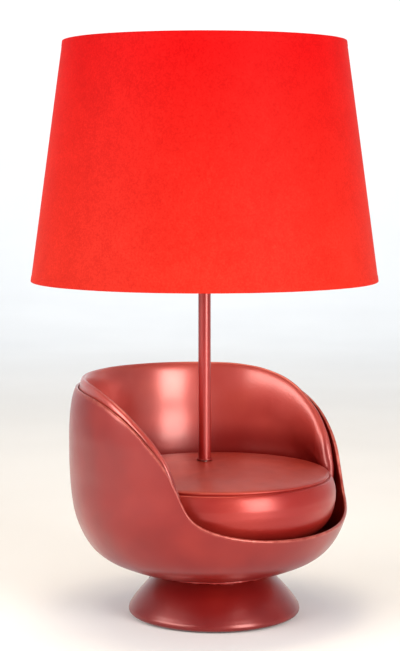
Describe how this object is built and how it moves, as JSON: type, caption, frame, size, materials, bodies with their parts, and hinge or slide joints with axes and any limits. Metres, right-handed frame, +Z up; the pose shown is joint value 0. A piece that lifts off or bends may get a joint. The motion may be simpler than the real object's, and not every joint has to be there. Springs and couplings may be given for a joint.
{
  "type": "table lamp",
  "caption": "Table lamp: glossy red tub-chair base on a flared foot, a slim tube rising from the seat, and a tapered red velvet drum shade.",
  "frame": {"origin": "on the stem axis, at the underside of the felt that rests on the table", "axes": "+Z up; the chair-shaped base faces -Y; the object is mirrored about X = 0"},
  "size_m": [0.35, 0.35, 0.5773],
  "materials": {
    "red_lacquer": "metallic red lacquer over spun metal, satin gloss",
    "zinc_steel": "zinc-plated steel",
    "white_wire": "white epoxy coated steel wire and sheet",
    "red_velvet": "short-pile red velvet",
    "white_pvc": "white rigid PVC lining",
    "holder_white": "moulded white thermoset",
    "terminal_white": "moulded insulating block",
    "brass": "plain brass",
    "bulb_glass": "opal white glass",
    "bulb_metal": "plain threaded cap",
    "bulb_black": "black glass insulator",
    "black_rubber": "black rubber",
    "black_felt": "black felt"
  },
  "bodies": {
    "base": {"outer_shell": "red_lacquer", "back_pad": "red_lacquer", "seat_cushion": "red_lacquer", "seat_pan": "zinc_steel", "cushion_spacer": "zinc_steel", "seat_riser": "zinc_steel", "pedestal": "red_lacquer", "joint_bead": "red_lacquer", "base_plate": "zinc_steel", "felt_pad": "black_felt", "cable_grommet": "black_rubber", "threaded_rod": "zinc_steel", "bottom_washer": "zinc_steel", "bottom_nut": "zinc_steel", "stem_tube": "red_lacquer", "stem_foot_bead": "red_lacquer", "lampholder_cap": "holder_white", "top_nut": "zinc_steel", "terminal_block": "terminal_white", "lampholder_body": "holder_white", "contact_sleeve": "brass", "centre_contact": "brass", "shade_support_ring": "holder_white"},
    "shade": {"shade_cover": "red_velvet", "shade_liner": "white_pvc", "shade_bottom_wire": "white_wire", "shade_top_wire": "white_wire", "carrier_ring": "white_wire", "shade_arm_1": "white_wire", "shade_arm_2": "white_wire", "shade_arm_3": "white_wire"},
    "ring_rise": {"ring_flange": "holder_white"},
    "ring_collar": {"retaining_ring": "holder_white"},
    "bulb_rise": {"bulb_tip_contact": "zinc_steel"},
    "bulb": {"bulb_glass": "bulb_glass", "bulb_cap": "bulb_metal", "bulb_insulator": "bulb_black"}
  },
  "joints": [
    {"name": "shade_turn", "type": "hinge", "parent": "base", "child": "shade", "pos_m": [0, 0, 0.386], "axis": [0, 0, 1], "continuous": true},
    {"name": "ring_lift", "type": "slide", "parent": "base", "child": "ring_rise", "axis": [0, 0, 1], "range_m": [0, 0.0075]},
    {"name": "ring_turn", "type": "hinge", "parent": "ring_rise", "child": "ring_collar", "pos_m": [0, 0, 0.393], "axis": [0, 0, 1], "range_deg": [0, 1080]},
    {"name": "bulb_lift", "type": "slide", "parent": "base", "child": "bulb_rise", "axis": [0, 0, 1], "range_m": [0, 0.01448]},
    {"name": "bulb_turn", "type": "hinge", "parent": "bulb_rise", "child": "bulb", "pos_m": [0, 0, 0.45], "axis": [0, 0, 1], "range_deg": [0, 1440]}
  ],
  "couplings": [
    {"joint": "ring_turn", "follows": "ring_lift", "rad_per_m": 2513.2},
    {"joint": "bulb_turn", "follows": "bulb_lift", "rad_per_m": 1735.6}
  ]
}
